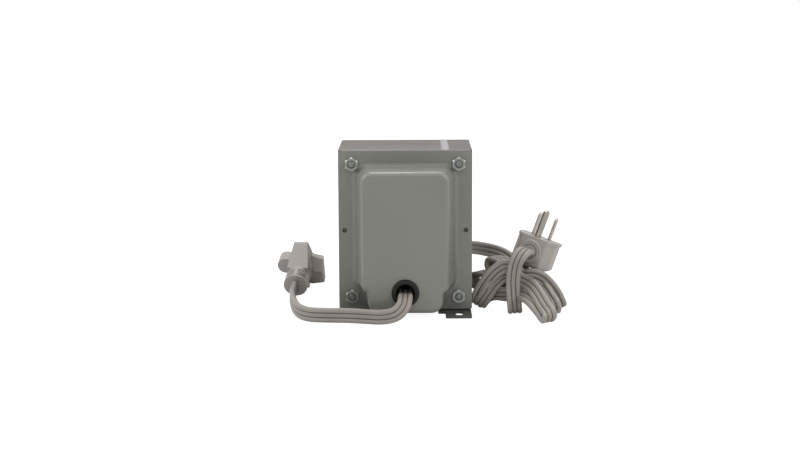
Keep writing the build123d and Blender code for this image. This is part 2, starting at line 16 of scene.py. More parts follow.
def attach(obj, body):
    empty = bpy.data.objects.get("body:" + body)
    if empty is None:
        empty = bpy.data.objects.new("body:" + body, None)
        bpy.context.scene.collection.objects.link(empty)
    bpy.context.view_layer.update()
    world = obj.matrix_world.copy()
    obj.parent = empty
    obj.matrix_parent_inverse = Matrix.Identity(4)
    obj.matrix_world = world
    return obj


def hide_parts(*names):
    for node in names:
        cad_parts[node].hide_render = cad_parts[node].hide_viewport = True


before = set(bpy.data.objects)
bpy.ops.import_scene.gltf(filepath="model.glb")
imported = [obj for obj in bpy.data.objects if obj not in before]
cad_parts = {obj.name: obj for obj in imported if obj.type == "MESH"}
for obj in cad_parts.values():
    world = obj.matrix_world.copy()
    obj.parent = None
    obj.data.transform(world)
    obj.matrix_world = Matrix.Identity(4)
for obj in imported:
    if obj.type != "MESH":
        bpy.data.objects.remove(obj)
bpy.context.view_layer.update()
scene = bpy.context.scene
MM = 0.001
print("solids:", len(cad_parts))


# %% [markdown]
# ## Maths on sockets
# A material is a graph of nodes, and long graphs are hard to read as calls. A small class stands for a
# socket and answers to the ordinary operators, so that a mask can be written as an expression. Each
# operation adds one Math node behind the scenes.

# %% A socket that does maths
class Wire:
    """An output socket of a node tree, used like a number."""

    def __init__(self, tree, socket):
        self.tree = tree
        self.socket = socket

    def maths(self, operation, *terms, clamp=False):
        node = self.tree.nodes.new("ShaderNodeMath")
        node.operation = operation
        node.use_clamp = clamp
        for slot, term in zip(node.inputs, terms):
            join(self.tree, term, slot)
        return Wire(self.tree, node.outputs[0])

    def __add__(self, other):
        return self.maths("ADD", self, other)

    def __sub__(self, other):
        return self.maths("SUBTRACT", self, other)

    def __rsub__(self, other):
        return self.maths("SUBTRACT", other, self)

    def __mul__(self, other):
        return self.maths("MULTIPLY", self, other)

    def fraction(self):
        return self.maths("FRACT", self)

    def size(self):
        return self.maths("ABSOLUTE", self)

    def ramp(self, low, high):
        """0 below low, 1 above high, and straight between."""
        return self.maths("MULTIPLY", self - low, 1 / (high - low), clamp=True)

    __radd__ = __add__
    __rmul__ = __mul__


def join(tree, value, slot):
    """Links a wire to an input, or writes a plain value on it."""
    if isinstance(value, Wire):
        tree.links.new(value.socket, slot)
    elif isinstance(value, tuple) and len(value) == 3 and slot.type == "RGBA":
        slot.default_value = (*value, 1)
    else:
        slot.default_value = value


# %% [markdown]
# ## A finish
# Every finish starts from object coordinates, which for these pieces are metres in the scene, or from the
# piece's own UV map. `node` adds any node from its type, settings and inputs. `shade` closes the graph with
# a Principled shader, whose constant numbers are written on its own sockets.

# %% A material and its nodes
def colour(r, g, b):
    """A colour given as 8-bit screen values, as the linear values that a shader takes."""
    return tuple(
        (v / 255 / 12.92) if v <= 10 else ((v / 255 + 0.055) / 1.055) ** 2.4 for v in (r, g, b)
    )


class Finish:
    """A material under construction."""

    def __init__(self, name):
        self.material = bpy.data.materials.new(name)
        self.material.use_nodes = True
        self.tree = self.material.node_tree
        self.tree.nodes.clear()

    def node(self, kind, settings=None, inputs=None, out=0):
        made = self.tree.nodes.new(kind)
        for key, value in (settings or {}).items():
            setattr(made, key, value)
        for key, value in (inputs or {}).items():
            join(self.tree, value, made.inputs[key])
        return Wire(self.tree, made.outputs[out])

    def place(self, source="Object"):
        return self.node("ShaderNodeTexCoord", out=source)

    def axis(self, vector, name):
        return self.node("ShaderNodeSeparateXYZ", inputs={0: vector}, out=name)

    def noise(self, vector, scale, detail=2.0, rough=0.5):
        inputs = {"Vector": vector, "Scale": scale, "Detail": detail, "Roughness": rough}
        return self.node("ShaderNodeTexNoise", inputs=inputs)

    def blend(self, factor, first, second):
        settings = {"data_type": "RGBA"}
        return self.node("ShaderNodeMix", settings, {0: factor, 6: first, 7: second}, out=2)

    def bump(self, height, strength, distance):
        inputs = {"Height": height, "Strength": strength, "Distance": distance}
        return self.node("ShaderNodeBump", inputs=inputs)

    def shade(self, **sockets):
        names = {key: key.replace("_", " ").title().replace("Ior", "IOR") for key in sockets}
        surface = self.node(
            "ShaderNodeBsdfPrincipled", inputs={names[key]: value for key, value in sockets.items()}
        )
        output = self.tree.nodes.new("ShaderNodeOutputMaterial")
        self.tree.links.new(surface.socket, output.inputs["Surface"])
        return self.material


# %% [markdown]
# ## The camera and the light
# The camera stands 1.24 m in front and looks down by nearly nine degrees, with a long lens, as the
# corners of the front flange and the rear edge of the top give it. The world is an even pale light. A ray
# that comes straight from the camera sees plain white, and so does one that a glossy surface sends on, so
# the backdrop is white without more light falling on the object.

# %% Camera
focal_length, sensor_width = 76.5, 36
camera_place = (0.00509, -1.2369, 0.2453)
look_down, look_left, roll = math.radians(8.75), math.radians(0.425), math.radians(-0.27)
camera_data = bpy.data.cameras.new("camera")
camera_data.lens = focal_length
camera_data.sensor_width = sensor_width
camera = bpy.data.objects.new("camera", camera_data)
scene.collection.objects.link(camera)
scene.camera = camera
turn = Matrix.Rotation(look_left, 4, "Z") @ Matrix.Rotation(math.radians(90) - look_down, 4, "X")
turn = turn @ Matrix.Rotation(roll, 4, "Z")
camera.matrix_world = Matrix.Translation(camera_place) @ turn
print("camera at", camera_place)

# %% World
sky_colour, sky_strength = (0.93, 0.96, 1.0, 1), 0.55
backdrop_colour, backdrop_strength = (1, 1, 1, 1), 1.0
world = bpy.data.worlds.new("studio")
scene.world = world
world.use_nodes = True
scene.view_settings.view_transform = "Standard"
sky = world.node_tree
sky.nodes.clear()
path = sky.nodes.new("ShaderNodeLightPath")
seen = Wire(sky, path.outputs["Is Camera Ray"]) + Wire(sky, path.outputs["Is Glossy Ray"])
seen = seen + Wire(sky, path.outputs["Is Transmission Ray"])
light = sky.nodes.new("ShaderNodeBackground")
light.inputs["Color"].default_value = sky_colour
light.inputs["Strength"].default_value = sky_strength
white = sky.nodes.new("ShaderNodeBackground")
white.inputs["Color"].default_value = backdrop_colour
white.inputs["Strength"].default_value = backdrop_strength
choose = sky.nodes.new("ShaderNodeMixShader")
join(sky, seen.maths("MINIMUM", seen, 1.0), choose.inputs[0])
sky.links.new(light.outputs[0], choose.inputs[1])
sky.links.new(white.outputs[0], choose.inputs[2])
end = sky.nodes.new("ShaderNodeOutputWorld")
sky.links.new(choose.outputs[0], end.inputs["Surface"])
print("sky strength", sky_strength)


# %% Lamps
def lamp(name, place, aim, size, power):
    """A square soft lamp, turned towards a point."""
    data = bpy.data.lights.new(name, "AREA")
    data.size = size
    data.energy = power
    lamp_object = bpy.data.objects.new(name, data)
    scene.collection.objects.link(lamp_object)
    lamp_object.location = place
    lamp_object.rotation_euler = (Vector(aim) - Vector(place)).to_track_quat("-Z", "Y").to_euler()
    print(name, "at", place, "has", power, "W")


core_low = (0, 0, 0.05)
lamp("over_left", (-1.3, -0.15, 1.1), core_low, 1.0, 9.5)
lamp("over_right", (1.2, -0.5, 0.9), core_low, 1.0, 7.0)
lamp("over_back", (0.3, 0.6, 1.5), core_low, 1.0, 6.0)
lamp("edge_light", (-0.1, 0.15, 1.4), (0, -0.05, 0.1), 0.3, 5.0)
lamp("front_fill", (0.1, -1.8, 1.2), (0, 0, 0.06), 1.4, 6.0)

# %% [markdown]
# ## The floor
# The photograph's floor is as white as its backdrop. The floor here shows white to the camera too, and
# darkens only a little where the object keeps the light off it.

# %% Floor
floor_reach, floor_grey, floor_glow, glow_share = 4.0, 0.78, 1.34, 0.7
floor_mesh = bpy.data.meshes.new("floor")
corners = [(-1, -1), (1, -1), (1, 1), (-1, 1)]
floor_mesh.from_pydata([(x * floor_reach, y * floor_reach, 0) for x, y in corners], [], [(0, 1, 2, 3)])
floor = bpy.data.objects.new("floor", floor_mesh)
scene.collection.objects.link(floor)
ground = Finish("white_floor")
ray = ground.node("ShaderNodeLightPath", out="Is Camera Ray")
paint = ground.node("ShaderNodeBsdfDiffuse", inputs={"Color": (floor_grey,) * 3 + (1,)})
glow = ground.node("ShaderNodeEmission", inputs={"Color": (1, 1, 1, 1), "Strength": floor_glow})
shown = ground.node("ShaderNodeMixShader", inputs={0: glow_share, 1: paint, 2: glow})
both = ground.node("ShaderNodeMixShader", inputs={0: ray, 1: paint, 2: shown})
ground_out = ground.tree.nodes.new("ShaderNodeOutputMaterial")
ground.tree.links.new(both.socket, ground_out.inputs["Surface"])
floor_mesh.materials.append(ground.material)
print("floor reaches", floor_reach, "m each way")

# %% [markdown]
# ## Flat three-core cord
# Both cords are flat vinyl with three cores: a round lobe at each edge, a narrower one between, and a deep
# groove at each side of it. A flat cord bends easily over its flat face and hardly at all over its edge, so
# its width has to be steered along the way. Each row below has a point of the route, in millimetres, and
# then the way its width points there. Two smooth NURBS curves with the same number of points are read
# back, one along the route and one beside it, and their difference is the width's direction.

# %% Read points along a smooth curve
def along(points, steps=14):
    """Points read from a NURBS curve through the neighbourhood of the given ones, in metres."""
    data = bpy.data.curves.new("guide", "CURVE")
    data.dimensions = "3D"
    data.resolution_u = steps
    spline = data.splines.new("NURBS")
    spline.points.add(len(points) - 1)
    for target, place in zip(spline.points, points):
        target.co = (*[v * MM for v in place], 1)
    spline.order_u = 3
    spline.use_endpoint_u = True
    holder = bpy.data.objects.new("guide", data)
    mesh = bpy.data.meshes.new_from_object(holder)
    read = [v.co.copy() for v in mesh.vertices]
    bpy.data.objects.remove(holder)
    bpy.data.meshes.remove(mesh)
    return read


# %% The section of the cord
def lobed_section():
    """Corners round the section of the cord: across it, and up from its middle, in metres."""
    lobe = [(1.65, 1.0), (1.9, 1.55), (2.5, 1.86), (3.4, 2.0), (4.3, 1.8), (4.95, 1.2), (5.2, 0.4)]
    right = [(x, -y) for x, y in lobe] + lobe[::-1]
    middle = [(1.38, 1.55), (0.8, 1.85), (-0.8, 1.85), (-1.38, 1.55)]
    left = [(-x, -y) for x, y in right]
    under = [(-x, -y) for x, y in middle]
    return [(x * MM, y * MM) for x, y in right + middle + left + under]


# %% A cord along a route
def flat_cord(name, rows, gap=10):
    """A flat cord along rows of place and width direction; gives its object, centreline and length."""
    # A second guide runs a gap of so many millimetres beside the first, towards the width.
    centre = along([row[:3] for row in rows])
    beside = along([[p + gap * w for p, w in zip(row[:3], row[3:])] for row in rows])
    section = lobed_section()
    count = len(section)
    mesh = bmesh.new()
    layer = mesh.loops.layers.uv.new("run")
    rings, runs, run = [], [], 0.0
    for i, here in enumerate(centre):
        before, after = centre[max(i - 1, 0)], centre[min(i + 1, len(centre) - 1)]
        ahead = (after - before).normalized()
        width = beside[i] - here
        width = (width - ahead * width.dot(ahead)).normalized()
        face = ahead.cross(width)
        run += (here - before).length
        runs.append(run)
        rings.append([mesh.verts.new(here + width * u + face * v) for u, v in section])
    for i in range(len(rings) - 1):
        for k in range(count):
            m = (k + 1) % count
            made = mesh.faces.new((rings[i][k], rings[i][m], rings[i + 1][m], rings[i + 1][k]))
            made.smooth = True
            for loop, (r, s) in zip(made.loops, ((i, k), (i, m), (i + 1, m), (i + 1, k))):
                loop[layer].uv = (section[s][0], runs[r])
    for ring in (rings[0], rings[-1]):
        cap = mesh.faces.new(ring)
        for loop in cap.loops:
            loop[layer].uv = (0, 0)
    bmesh.ops.recalc_face_normals(mesh, faces=mesh.faces)
    data = bpy.data.meshes.new(name)
    mesh.to_mesh(data)
    mesh.free()
    piece = bpy.data.objects.new(name, data)
    scene.collection.objects.link(piece)
    lowest = min(v.co.z for v in data.vertices)
    print(name, "runs", round(runs[-1] * 1000), "mm, lowest", round(lowest * 1000, 2), "mm")
    return piece, centre, runs[-1]


# %% The route of the output cord
output_rows = [
    (0, -58, 17.6, 1, 0, 0),
    (0, -66, 17.6, 1, 0, 0),
    (0, -73.5, 17.8, 1, 0, 0),
    (-1, -79, 12.5, 0.95, 0, -0.3),
    (-7, -83.5, 7, 0.6, 0, -0.8),
    (-17, -84, 5.6, 0.15, 0, -1),
    (-27, -79.5, 5.4, 0, 0, -1),
    (-41, -75.5, 5.4, 0, 0, -1),
    (-56, -74.5, 5.4, 0, 0, -1),
    (-67.5, -72.5, 5.4, 0, 0, -1),
    (-75.5, -60, 5.4, 0, 0, -1),
    (-79.8, -40, 5.4, 0, 0, -1),
    (-83, -15, 5.4, 0, 0, -1),
    (-84.3, 0, 5.5, 0, 0, -1),
    (-84.1, 14.3, 5.5, 0, 0.15, -1),
    (-83.2, 22, 8.35, 0.05, 0.39, -0.92),
]
output_cord, output_line, output_length = flat_cord("flat_output_cord", output_rows)

# %% The route of the supply cord
supply_rows = [
    (0, 58, 18.3, 1, 0, 0),
    (0, 68, 18.3, 1, 0, 0),
    (0, 80.2, 18.8, 1, 0, 0.1),
    (6, 91.2, 19.8, 0.8, 0, 0.5),
    (18, 98.2, 20.8, 0.4, 0, 0.9),
    (32, 97.2, 23, 0, 0, 1),
    (43, 88.2, 25.5, 0, 0, 1),
    (50, 75.2, 28.3, 0, 0, 1),
    (55.5, 59, 30.5, 0, 0, 1),
    (62, 40, 32.3, 0, 0.2, 1),
    (69, 22, 33.2, 0.1, 0.5, 0.85),
    (74.5, 4, 33, 0.2, 0.7, 0.7),
    (79.5, -12, 30, 0.3, 0.6, 0.7),
    (87, -23, 25, 0.4, 0, 0.9),
    (96, -27, 15.5, 0.7, 0, 0.7),
    (102, -29, 7, 0.85, 0, 0.5),
    (103, -35.5, 3.6, 0.85, 0, 0.5),
    (98, -38.5, 9, 0.7, 0, 0.7),
    (90, -35, 15, 0.4, 0, 0.9),
    (80, -30.5, 20, 0, 0, 1),
    (70, -26, 24.5, 0.3, 0.5, 0.8),
    (60, -20, 25, 0.6, 0.75, 0.2),
    (52, -11.5, 23.5, 0.7, 0.7, 0),
    (50.2, -9, 20.5, 0.7, 0.7, 0),
    (50.2, -9, 16.5, 0.7, 0.7, 0),
    (52.8, -12.5, 13.8, 0.7, 0.7, 0),
    (60, -19, 14.5, 0.6, 0.7, 0.3),
    (69, -26, 13.5, 0.2, 0.4, 0.9),
    (77, -31, 12, 0, 0, 1),
    (86, -34.5, 14, 0.2, 0, 1),
    (95, -34, 16.5, 0.4, 0, 0.9),
    (101, -35, 13, 0.7, 0, 0.7),
    (106.5, -38, 6.5, 0.78, 0, 0.6),
    (109.3, -43.5, 4, 0.8, 0, 0.6),
    (110.2, -49.5, 6.2, 0.8, 0, 0.6),
    (107.2, -47.5, 13.5, 0.8, 0, 0.6),
    (102.7, -45.5, 20, 0.7, 0, 0.7),
    (97, -44, 25.6, 0.5, 0, 0.85),
    (90.5, -43, 27.8, 0.3, 0.1, 0.9),
    (83.5, -42, 26, 0.1, 0.6, 0.7),
    (77.5, -37.5, 31.5, 0.2, 0.7, 0.6),
    (73, -30, 34.5, 0.6, 0.65, 0.4),
    (68, -23, 35.5, 0.73, 0.68, 0.1),
    (62.5, -16, 35.5, 0.73, 0.68, 0),
    (61.3, -15, 31, 0.73, 0.68, 0),
    (63, -16.5, 26.3, 0.73, 0.68, 0),
    (68, -22, 26.5, 0.72, 0.68, 0.1),
    (72, -29, 27, 0.45, 0.5, 0.7),
    (79, -36.5, 24.5, 0, 0, 1),
    (88, -38.5, 20, 0.3, 0, 0.95),
    (94, -42, 14, 0.5, 0, 0.85),
    (97, -50, 7, 0.7, 0, 0.7),
    (100.8, -60, 4.3, 0.85, 0, 0.5),
    (104, -66, 4.7, 0.85, 0, 0.5),
    (104.3, -65.5, 10.7, 0.85, 0, 0.5),
    (101.8, -57.5, 12.5, 0.85, 0, 0.5),
    (99.8, -49, 16.5, 0.7, 0, 0.7),
    (94.5, -40, 22.5, 0.5, 0, 0.85),
    (87, -38, 24.5, 0.2, 0, 1),
    (79, -40, 24.5, -0.05, 0, 1),
    (71, -42, 28, -0.4, 0, 0.9),
    (64, -41.5, 22.5, -0.75, 0, 0.65),
    (58.3, -40, 13.7, -0.85, 0, 0.5),
    (55, -38, 8.5, -0.85, 0, 0.5),
    (53.2, -32.5, 4.6, -0.85, 0, 0.5),
    (55.2, -28.5, 6.4, -0.85, 0, 0.5),
    (58.5, -30.5, 10.5, -0.8, 0, 0.6),
    (64, -34, 13, -0.5, 0, 0.9),
    (72, -40, 13, -0.1, 0, 1),
    (78, -44.5, 14.5, 0.1, 0, 1),
    (81, -48, 15.5, 0.5, 0.3, 0.8),
    (87.5, -62, 14, 0.85, 0.4, 0.1),
    (94.5, -77, 7, 0.87, 0.4, -0.1),
    (98, -86.6, 2.6, 0.87, 0.35, 0),
    (100, -88.8, 9, 0.8, 0.15, 0.5),
    (96.6, -79, 12, 0.82, 0.07, 0.55),
    (94, -67, 16.2, 0.82, 0.05, 0.57),
    (90.5, -56, 20.7, 0.75, 0, 0.65),
    (86.5, -48, 23.2, 0.5, 0.2, 0.8),
    (80, -45.5, 25, 0, 0.2, 1),
    (73, -45.5, 36, -0.3, 0, 0.95),
    (65.5, -44.5, 32, -0.55, 0, 0.85),
    (59, -42, 24.5, -0.8, 0, 0.6),
    (54, -38, 15.5, -0.88, 0, 0.5),
    (51.3, -34, 7.5, -0.9, 0, 0.45),
    (50.8, -29, 4.2, -0.85, 0, 0.5),
    (54, -24.5, 9.5, -0.9, 0, 0.45),
    (60, -25, 15.5, -0.7, 0, 0.7),
    (67, -26, 20.5, -0.4, 0, 0.9),
    (74, -24.5, 22.5, 0.2, 0, 1),
    (78.8, -22.5, 18, 0.8, 0, 0.6),
    (79.4, -22, 10, 1, 0, 0),
    (79, -25.5, 2.6, 1, 0, 0),
    (78.3, -38, 2.4, 0.95, 0.25, 0),
    (77.8, -51.5, 2.5, 0.92, 0.35, 0),
    (76.8, -53.5, 11, 0.97, 0.2, 0),
    (76.2, -51.8, 20, 1, 0, 0),
    (76.3, -51.2, 28, 1, 0, 0),
    (77.2, -51.8, 35, 1, 0, -0.05),
    (79.2, -53.5, 41.8, 0.97, -0.1, -0.15),
    (84.3, -49, 46.3, 0.93, -0.2, -0.25),
    (86.6, -41.5, 45, 0.9, -0.3, -0.3),
    (88.3, -34.2, 43.2, 0.89, -0.33, -0.31),
]
supply_cord, supply_line, supply_length = flat_cord("flat_supply_cord", supply_rows)

# %% [markdown]
# ## The vinyl of the cords
# Warm grey, a little glossy, with painted shade down in the grooves, and finely ribbed
# across the middle core. A picture wrapped round the cord could show this too, but masks worked out from
# the UV map stay sharp at any size. The map holds metres: u across the cord, v along it.

# %% Cord vinyl
# where the painted groove shade sits across the cord, and how wide it is, in metres
groove_at, groove_core, groove_edge = 0.00165, 0.0001, 0.0004
rib_core, rib_edge, ribs_in_a_metre = 0.001, 0.0014, 700.0
grain_height = 0.0002


def cord_vinyl():
    """The finish that both cords share."""
    finish = Finish("cord_vinyl")
    uv = finish.place("UV")
    across = finish.axis(uv, "X").size()
    wave = ((finish.axis(uv, "Y") * ribs_in_a_metre).fraction() - 0.5).size() * 2.0
    # painted shade: a mask that is 1 down in each groove between the cores
    groove_shade = 1 - ((across - groove_at).size()).ramp(groove_core, groove_edge)
    rib = (1 - across.ramp(rib_core, rib_edge)) * wave
    place = finish.place()
    cloud_scale, grain_scale = 60.0, 900.0
    cloud = finish.noise(place, cloud_scale, 3.0)
    fine = finish.noise(place, grain_scale, 2.0)
    base = finish.blend(cloud, colour(136, 128, 120), colour(148, 140, 132))
    base = finish.blend(rib * 0.35, base, colour(118, 110, 100))
    # painted shade: the grooves are darkened to a deep brown
    base = finish.blend(groove_shade, base, colour(50, 42, 36))
    normal = finish.bump(fine * 0.4 + rib, 0.25, grain_height)
    return finish.shade(base_color=base, roughness=0.42 + 0.1 * cloud, normal=normal)


cord_grey = cord_vinyl()
for piece in (output_cord, supply_cord):
    piece.data.materials.append(cord_grey)
    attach(piece, "root")
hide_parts("output_cord", "output_cord_tail")
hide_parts("input_cord", "input_cord_hank", "input_cord_wrap", "input_cord_tail")

# %% [markdown]
# ## Plain finishes for the solids
# Enamel, varnish, plate and rubber: each is one base colour that a slow cloud varies, with a fine grain in
# its surface. The colours are given as 8-bit screen values, dark and light. A helper takes what differs, so
# that a finish is one line.

# %% A plain finish
rough_spread = 0.12


def simple(name, low, high, rough, metallic=0.0, grain=600.0, strength=0.15, cloud_scale=18.0, **more):
    """A finish with a slow cloud between two colours and a fine grain in its surface."""
    finish = Finish(name)
    place = finish.place()
    cloud = finish.noise(place, cloud_scale, 3.0)
    fine = finish.noise(place, grain, 3.0, 0.6)
    base = finish.blend(cloud, colour(*low), colour(*high))
    normal = finish.bump(fine, strength, grain_height)
    roughness = rough + rough_spread * fine
    return finish.shade(base_color=base, roughness=roughness, metallic=metallic, normal=normal, **more)


# %% Enamel, steel and the rest
bell_enamel = simple(
    "bell_enamel", (112, 113, 103), (119, 120, 110), 0.4, coat_weight=0.45, coat_roughness=0.15
)
frame_varnish = simple("frame_varnish", (62, 60, 54), (74, 72, 66), 0.45)
sheet_edges = simple("sheet_edges", (104, 99, 96), (124, 118, 115), 0.5, 0.2)
weld = simple("weld", (130, 128, 129), (158, 155, 157), 0.38, 0.5)
zinc = simple("zinc", (126, 128, 123), (148, 150, 145), 0.34, 0.7)
bolt_steel = simple("bolt_steel", (104, 105, 101), (128, 130, 126), 0.36, 0.6)
rubber = simple("rubber", (11, 10, 8), (16, 15, 12), 0.5, specular_ior_level=0.3)
vinyl = simple("vinyl", (148, 141, 135), (158, 151, 145), 0.4)
nickel = simple("nickel", (140, 130, 118), (178, 170, 160), 0.26, 0.9, 420.0, 0.3, 90.0)
brass = simple("brass", (190, 160, 90), (205, 175, 105), 0.28, 1.0)
copper = simple("copper", (150, 78, 44), (172, 92, 52), 0.32, 0.8)
paper = simple("paper", (176, 146, 98), (196, 168, 120), 0.7)
black_lead = simple("black_lead", (30, 29, 28), (38, 37, 36), 0.4)
cap_white = simple("cap_white", (196, 194, 188), (208, 206, 200), 0.35)
print("materials so far:", len(bpy.data.materials))

# %% [markdown]
# ## Plate and painted light on the nuts
# All four nuts are one piece, with a painted highlight on their chamfered corners and painted shade in the
# bore round the bolt's end. The distance from the nearest bolt's axis tells both. The four axes mirror
# each other, so absolute values fold them onto one.

# %% Nut plate with painted highlight and shade
bolt_x, bolt_mid_z, bolt_half_z = 38.1, 59.55, 47.625
# radii from the bolt's axis, in metres, of the painted shade in the bore and the painted highlight on the
# chamfer
bore_shade_full, bore_shade_end = 0.0024, 0.0032
chamfer_highlight_start, chamfer_highlight_full = 0.0041, 0.0049


def nut_plate():
    """Zinc plate on the nuts, with a painted highlight on the chamfered corners and painted shade in the
    bore.
    """
    finish = Finish("nut_plate")
    place = finish.place()
    across = finish.axis(place, "X").size() - bolt_x * MM
    up = (finish.axis(place, "Z") - bolt_mid_z * MM).size() - bolt_half_z * MM
    radius = up.maths("SQRT", across * across + up * up)
    cloud = finish.noise(place, 300.0, 3.0)
    base = finish.blend(cloud, colour(126, 129, 125), colour(146, 150, 146))
    # painted highlight: a bright ring on the chamfered corners of each nut
    base = finish.blend(radius.ramp(chamfer_highlight_start, chamfer_highlight_full), base, colour(198, 203, 199))
    # painted shade: a dark ring in the bore round the bolt's end
    base = finish.blend(1 - radius.ramp(bore_shade_full, bore_shade_end), base, colour(58, 58, 54))
    return finish.shade(base_color=base, roughness=0.3, metallic=0.6)


# %% Which solid has which finish
finish_of = {
    "e_laminations": sheet_edges,
    "i_laminations": sheet_edges,
    "weld_beads": weld,
    "front_end_frame": frame_varnish,
    "rear_end_frame": frame_varnish,
    "front_bell": bell_enamel,
    "rear_bell": bell_enamel,
    "front_grommet": rubber,
    "rear_grommet": rubber,
    "output_cord_tail": vinyl,
    "input_cord_tail": vinyl,
    "through_bolts": bolt_steel,
    "hex_nuts": nut_plate(),
    "spring_washers": zinc,
    "primary_winding": copper,
    "secondary_winding": copper,
    "plug_body": vinyl,
    "plug_line_blade": nickel,
    "plug_neutral_blade": nickel,
    "plug_ground_pin": nickel,
    "receptacle_body": vinyl,
    "receptacle_contacts": brass,
    "output_leads": black_lead,
    "input_leads": black_lead,
    "primary_leads": black_lead,
    "secondary_leads": black_lead,
    "front_crimp_caps": cap_white,
    "rear_crimp_caps": cap_white,
    "front_ground_tag": zinc,
    "rear_ground_tag": zinc,
    "front_ground_rivet": zinc,
    "rear_ground_rivet": zinc,
}
for name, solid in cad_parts.items():
    solid.data.materials.clear()
    solid.data.materials.append(finish_of.get(name, paper))
print("solids named here:", len(finish_of), "- the rest is paper in the coil, or gives way to a cord")

# %% [markdown]
# ## Sheets, ripples and threads
# The core is a stack of sheets, the weld along its joint is a row of ripples, and a bolt's thread is a row
# of crests. An array modifier could lay these out too, but can't shake each copy a little. So one node
# group makes what repeats. It lays copies of a mesh along a straight line, moves each by a small random
# amount, and turns them into one real mesh. The copies are baked at once, and the modifier is taken off.

# %% A node group that repeats a mesh along a line
def repeater():
    """The group, and the identifiers of its inputs by name."""
    group = bpy.data.node_groups.new("repeat_along", "GeometryNodeTree")
    kinds = {
        "Geometry": "Geometry",
        "Count": "Int",
        "Step": "Vector",
        "Shake": "Vector",
        "Seed": "Int",
        "Material": "Material",
    }
    names = {}
    for name, kind in kinds.items():
        socket = group.interface.new_socket(name=name, in_out="INPUT", socket_type="NodeSocket" + kind)
        names[name] = socket.identifier
    group.interface.new_socket(name="Geometry", in_out="OUTPUT", socket_type="NodeSocketGeometry")
    start = group.nodes.new("NodeGroupInput").outputs
    line = group.nodes.new("GeometryNodeMeshLine")
    copies = group.nodes.new("GeometryNodeInstanceOnPoints")
    minus = group.nodes.new("ShaderNodeVectorMath")
    minus.operation = "SCALE"
    minus.inputs["Scale"].default_value = -1
    chance = group.nodes.new("FunctionNodeRandomValue")
    chance.data_type = "FLOAT_VECTOR"
    shift = group.nodes.new("GeometryNodeTranslateInstances")
    solid = group.nodes.new("GeometryNodeRealizeInstances")
    paint = group.nodes.new("GeometryNodeSetMaterial")
    end = group.nodes.new("NodeGroupOutput")
    for source, target in (
        (start["Count"], line.inputs["Count"]),
        (start["Step"], line.inputs["Offset"]),
        (line.outputs[0], copies.inputs["Points"]),
        (start["Geometry"], copies.inputs["Instance"]),
        (start["Shake"], minus.inputs[0]),
        (minus.outputs[0], chance.inputs["Min"]),
        (start["Shake"], chance.inputs["Max"]),
        (start["Seed"], chance.inputs["Seed"]),
        (copies.outputs[0], shift.inputs["Instances"]),
        (chance.outputs["Value"], shift.inputs["Translation"]),
        (shift.outputs[0], solid.inputs[0]),
        (solid.outputs[0], paint.inputs["Geometry"]),
        (start["Material"], paint.inputs["Material"]),
        (paint.outputs[0], end.inputs[0]),
    ):
        group.links.new(source, target)
    return group, names


repeat_group, repeat_names = repeater()


def repeat(name, mesh, count, step, shake, seed, material):
    """Copies of a mesh along a line, as a new object at the origin; step and shake are in mm."""
    source = bpy.data.objects.new(name, mesh)
    scene.collection.objects.link(source)
    modifier = source.modifiers.new("repeat", "NODES")
    modifier.node_group = repeat_group
    values = {"Count": count, "Seed": seed, "Material": material}
    values.update({"Step": [v * MM for v in step], "Shake": [v * MM for v in shake]})
    for key, value in values.items():
        modifier[repeat_names[key]] = value
    bpy.context.view_layer.update()
    baked = bpy.data.meshes.new_from_object(source.evaluated_get(bpy.context.evaluated_depsgraph_get()))
    source.modifiers.remove(modifier)
    source.data = baked
    print(name, "has", len(baked.polygons), "faces")
    return source


# %% Sheets of the core
def one_sheet(node, thickness):
    """The outline of a packed stack, pressed flat to one sheet at the front of the stack."""
    mesh = node.data.copy()
    mesh.transform(node.matrix_world)
    front = min(v.co.y for v in mesh.vertices)
    depth = -2 * front
    for v in mesh.vertices:
        v.co.y = front + (v.co.y - front) * thickness * MM / depth
    return mesh


sheet_count, stack_depth = 139, 69.85
pitch = stack_depth / sheet_count
sheet_gap, sheet_shake = 0.06, (0.05, 0, 0.05)
for seed, stack_name in ((3, "e_laminations"), (8, "i_laminations")):
    sheet = one_sheet(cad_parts[stack_name], pitch - sheet_gap)
    step = (0, pitch, 0)
    stack = repeat(stack_name + "_sheets", sheet, sheet_count, step, sheet_shake, seed, sheet_edges)
    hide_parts(stack_name)
    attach(stack, "root")


# %% Ripples of the weld
def mound(x, y, z, radii, sides=14, rings=4):
    """A flat-bottomed half ellipsoid; a negative height points it down."""
    mesh = bmesh.new()
    top = mesh.verts.new((x * MM, y * MM, (z + radii[2]) * MM))
    rows = []
    for ring in range(1, rings + 1):
        tilt = math.pi / 2 * ring / rings
        row = []
        for side in range(sides):
            turn = 2 * math.pi * side / sides
            across = (radii[0] * math.sin(tilt) * math.cos(turn), radii[1] * math.sin(tilt) * math.sin(turn))
            rise = radii[2] * math.cos(tilt)
            row.append(mesh.verts.new(((x + across[0]) * MM, (y + across[1]) * MM, (z + rise) * MM)))
        rows.append(row)
    for k in range(sides):
        mesh.faces.new((top, rows[0][k - 1], rows[0][k]))
        for low, high in zip(rows, rows[1:]):
            mesh.faces.new((low[k - 1], high[k - 1], high[k], low[k]))
    mesh.faces.new(rows[-1])
    bmesh.ops.recalc_face_normals(mesh, faces=mesh.faces)
    data = bpy.data.meshes.new("ripple")
    mesh.to_mesh(data)
    mesh.free()
    data.shade_smooth()
    return data


joint_x, top_z, bottom_z = 28.6, 116.7, 2.4
ripple_count, ripple_pitch, first_ripple = 48, 1.446, -34.0
ripple_wide, ripple_long, ripple_sunk = 3.0, 1.3, 0.1
ripple_shake = (0.25, 0.1, 0.04)
for side, z, rise in (("top", top_z, 0.6), ("bottom", bottom_z, -0.5)):
    ripple = mound(joint_x, first_ripple, z - rise * ripple_sunk, (ripple_wide, ripple_long, rise))
    bead = repeat("weld_" + side, ripple, ripple_count, (0, ripple_pitch, 0), ripple_shake, 5, weld)
    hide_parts("weld_beads")
    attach(bead, "root")


